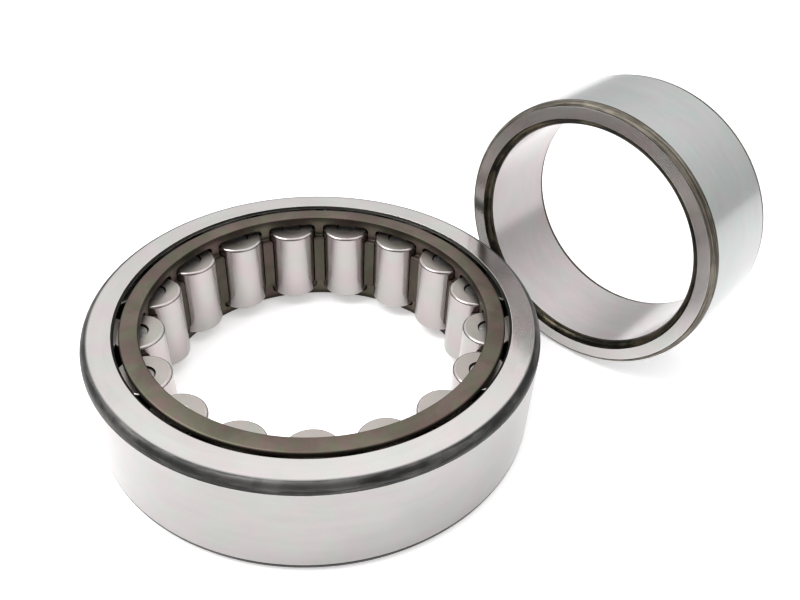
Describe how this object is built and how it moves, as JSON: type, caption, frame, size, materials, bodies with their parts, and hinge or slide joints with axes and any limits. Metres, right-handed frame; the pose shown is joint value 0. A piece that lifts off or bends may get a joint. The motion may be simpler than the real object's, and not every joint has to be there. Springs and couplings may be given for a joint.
{
  "type": "cylindrical roller bearing",
  "caption": "Cylindrical roller bearing taken apart: ribbed outer ring with pressed steel cage and rollers lying flat, plain inner ring standing on its edge beside it.",
  "frame": {"origin": "centre of the outer ring, on its axis and at mid-width", "axes": "+Z along the outer ring's axis, upwards as it lies flat; +Y along the inner ring's axis, away from the outer ring"},
  "size_m": [0.1137, 0.1311, 0.066],
  "materials": {
    "ground_ring_steel": "ground bearing steel, bright, with dark unground corners",
    "ground_roller_steel": "fine-ground, almost mirror-bright bearing steel",
    "pressed_cage_steel": "brown-grey tumbled sheet steel, semi-gloss"
  },
  "bodies": {
    "outer_ring": {"outer_ring": "ground_ring_steel"},
    "cage": {"cage": "pressed_cage_steel"},
    "roller_01": {"roller_01": "ground_roller_steel"},
    "roller_02": {"roller_02": "ground_roller_steel"},
    "roller_03": {"roller_03": "ground_roller_steel"},
    "roller_04": {"roller_04": "ground_roller_steel"},
    "roller_05": {"roller_05": "ground_roller_steel"},
    "roller_06": {"roller_06": "ground_roller_steel"},
    "roller_07": {"roller_07": "ground_roller_steel"},
    "roller_08": {"roller_08": "ground_roller_steel"},
    "roller_09": {"roller_09": "ground_roller_steel"},
    "roller_10": {"roller_10": "ground_roller_steel"},
    "roller_11": {"roller_11": "ground_roller_steel"},
    "roller_12": {"roller_12": "ground_roller_steel"},
    "roller_13": {"roller_13": "ground_roller_steel"},
    "roller_14": {"roller_14": "ground_roller_steel"},
    "roller_15": {"roller_15": "ground_roller_steel"},
    "roller_16": {"roller_16": "ground_roller_steel"},
    "roller_17": {"roller_17": "ground_roller_steel"},
    "inner_ring": {"inner_ring": "ground_ring_steel"}
  },
  "joints": [
    {"name": "cage_spin", "type": "hinge", "parent": "outer_ring", "child": "cage", "pos_m": [0, 0, 0], "axis": [0, 0, 1], "continuous": true},
    {"name": "roller_01_spin", "type": "hinge", "parent": "cage", "child": "roller_01", "pos_m": [0.03898, 0, 0], "axis": [0, 0, 1], "continuous": true},
    {"name": "roller_02_spin", "type": "hinge", "parent": "cage", "child": "roller_02", "pos_m": [0.03635, 0.01408, 0], "axis": [0, 0, 1], "continuous": true},
    {"name": "roller_03_spin", "type": "hinge", "parent": "cage", "child": "roller_03", "pos_m": [0.02881, 0.02626, 0], "axis": [0, 0, 1], "continuous": true},
    {"name": "roller_04_spin", "type": "hinge", "parent": "cage", "child": "roller_04", "pos_m": [0.01737, 0.03489, 0], "axis": [0, 0, 1], "continuous": true},
    {"name": "roller_05_spin", "type": "hinge", "parent": "cage", "child": "roller_05", "pos_m": [0.0036, 0.03881, 0], "axis": [0, 0, 1], "continuous": true},
    {"name": "roller_06_spin", "type": "hinge", "parent": "cage", "child": "roller_06", "pos_m": [-0.01067, 0.03749, 0], "axis": [0, 0, 1], "continuous": true},
    {"name": "roller_07_spin", "type": "hinge", "parent": "cage", "child": "roller_07", "pos_m": [-0.02349, 0.03111, 0], "axis": [0, 0, 1], "continuous": true},
    {"name": "roller_08_spin", "type": "hinge", "parent": "cage", "child": "roller_08", "pos_m": [-0.03314, 0.02052, 0], "axis": [0, 0, 1], "continuous": true},
    {"name": "roller_09_spin", "type": "hinge", "parent": "cage", "child": "roller_09", "pos_m": [-0.03832, 0.00716, 0], "axis": [0, 0, 1], "continuous": true},
    {"name": "roller_10_spin", "type": "hinge", "parent": "cage", "child": "roller_10", "pos_m": [-0.03832, -0.00716, 0], "axis": [0, 0, 1], "continuous": true},
    {"name": "roller_11_spin", "type": "hinge", "parent": "cage", "child": "roller_11", "pos_m": [-0.03314, -0.02052, 0], "axis": [0, 0, 1], "continuous": true},
    {"name": "roller_12_spin", "type": "hinge", "parent": "cage", "child": "roller_12", "pos_m": [-0.02349, -0.03111, 0], "axis": [0, 0, 1], "continuous": true},
    {"name": "roller_13_spin", "type": "hinge", "parent": "cage", "child": "roller_13", "pos_m": [-0.01067, -0.03749, 0], "axis": [0, 0, 1], "continuous": true},
    {"name": "roller_14_spin", "type": "hinge", "parent": "cage", "child": "roller_14", "pos_m": [0.0036, -0.03881, 0], "axis": [0, 0, 1], "continuous": true},
    {"name": "roller_15_spin", "type": "hinge", "parent": "cage", "child": "roller_15", "pos_m": [0.01737, -0.03489, 0], "axis": [0, 0, 1], "continuous": true},
    {"name": "roller_16_spin", "type": "hinge", "parent": "cage", "child": "roller_16", "pos_m": [0.02881, -0.02626, 0], "axis": [0, 0, 1], "continuous": true},
    {"name": "roller_17_spin", "type": "hinge", "parent": "cage", "child": "roller_17", "pos_m": [0.03635, -0.01408, 0], "axis": [0, 0, 1], "continuous": true},
    {"name": "inner_ring_spin", "type": "hinge", "parent": "outer_ring", "child": "inner_ring", "pos_m": [0.0307, 0.0686, 0.0205], "axis": [0, 1, 0], "continuous": true}
  ],
  "couplings": [
    {"joint": "roller_01_spin", "follows": "cage_spin", "ratio": -7.5},
    {"joint": "roller_02_spin", "follows": "cage_spin", "ratio": -7.5},
    {"joint": "roller_03_spin", "follows": "cage_spin", "ratio": -7.5},
    {"joint": "roller_04_spin", "follows": "cage_spin", "ratio": -7.5},
    {"joint": "roller_05_spin", "follows": "cage_spin", "ratio": -7.5},
    {"joint": "roller_06_spin", "follows": "cage_spin", "ratio": -7.5},
    {"joint": "roller_07_spin", "follows": "cage_spin", "ratio": -7.5},
    {"joint": "roller_08_spin", "follows": "cage_spin", "ratio": -7.5},
    {"joint": "roller_09_spin", "follows": "cage_spin", "ratio": -7.5},
    {"joint": "roller_10_spin", "follows": "cage_spin", "ratio": -7.5},
    {"joint": "roller_11_spin", "follows": "cage_spin", "ratio": -7.5},
    {"joint": "roller_12_spin", "follows": "cage_spin", "ratio": -7.5},
    {"joint": "roller_13_spin", "follows": "cage_spin", "ratio": -7.5},
    {"joint": "roller_14_spin", "follows": "cage_spin", "ratio": -7.5},
    {"joint": "roller_15_spin", "follows": "cage_spin", "ratio": -7.5},
    {"joint": "roller_16_spin", "follows": "cage_spin", "ratio": -7.5},
    {"joint": "roller_17_spin", "follows": "cage_spin", "ratio": -7.5}
  ]
}
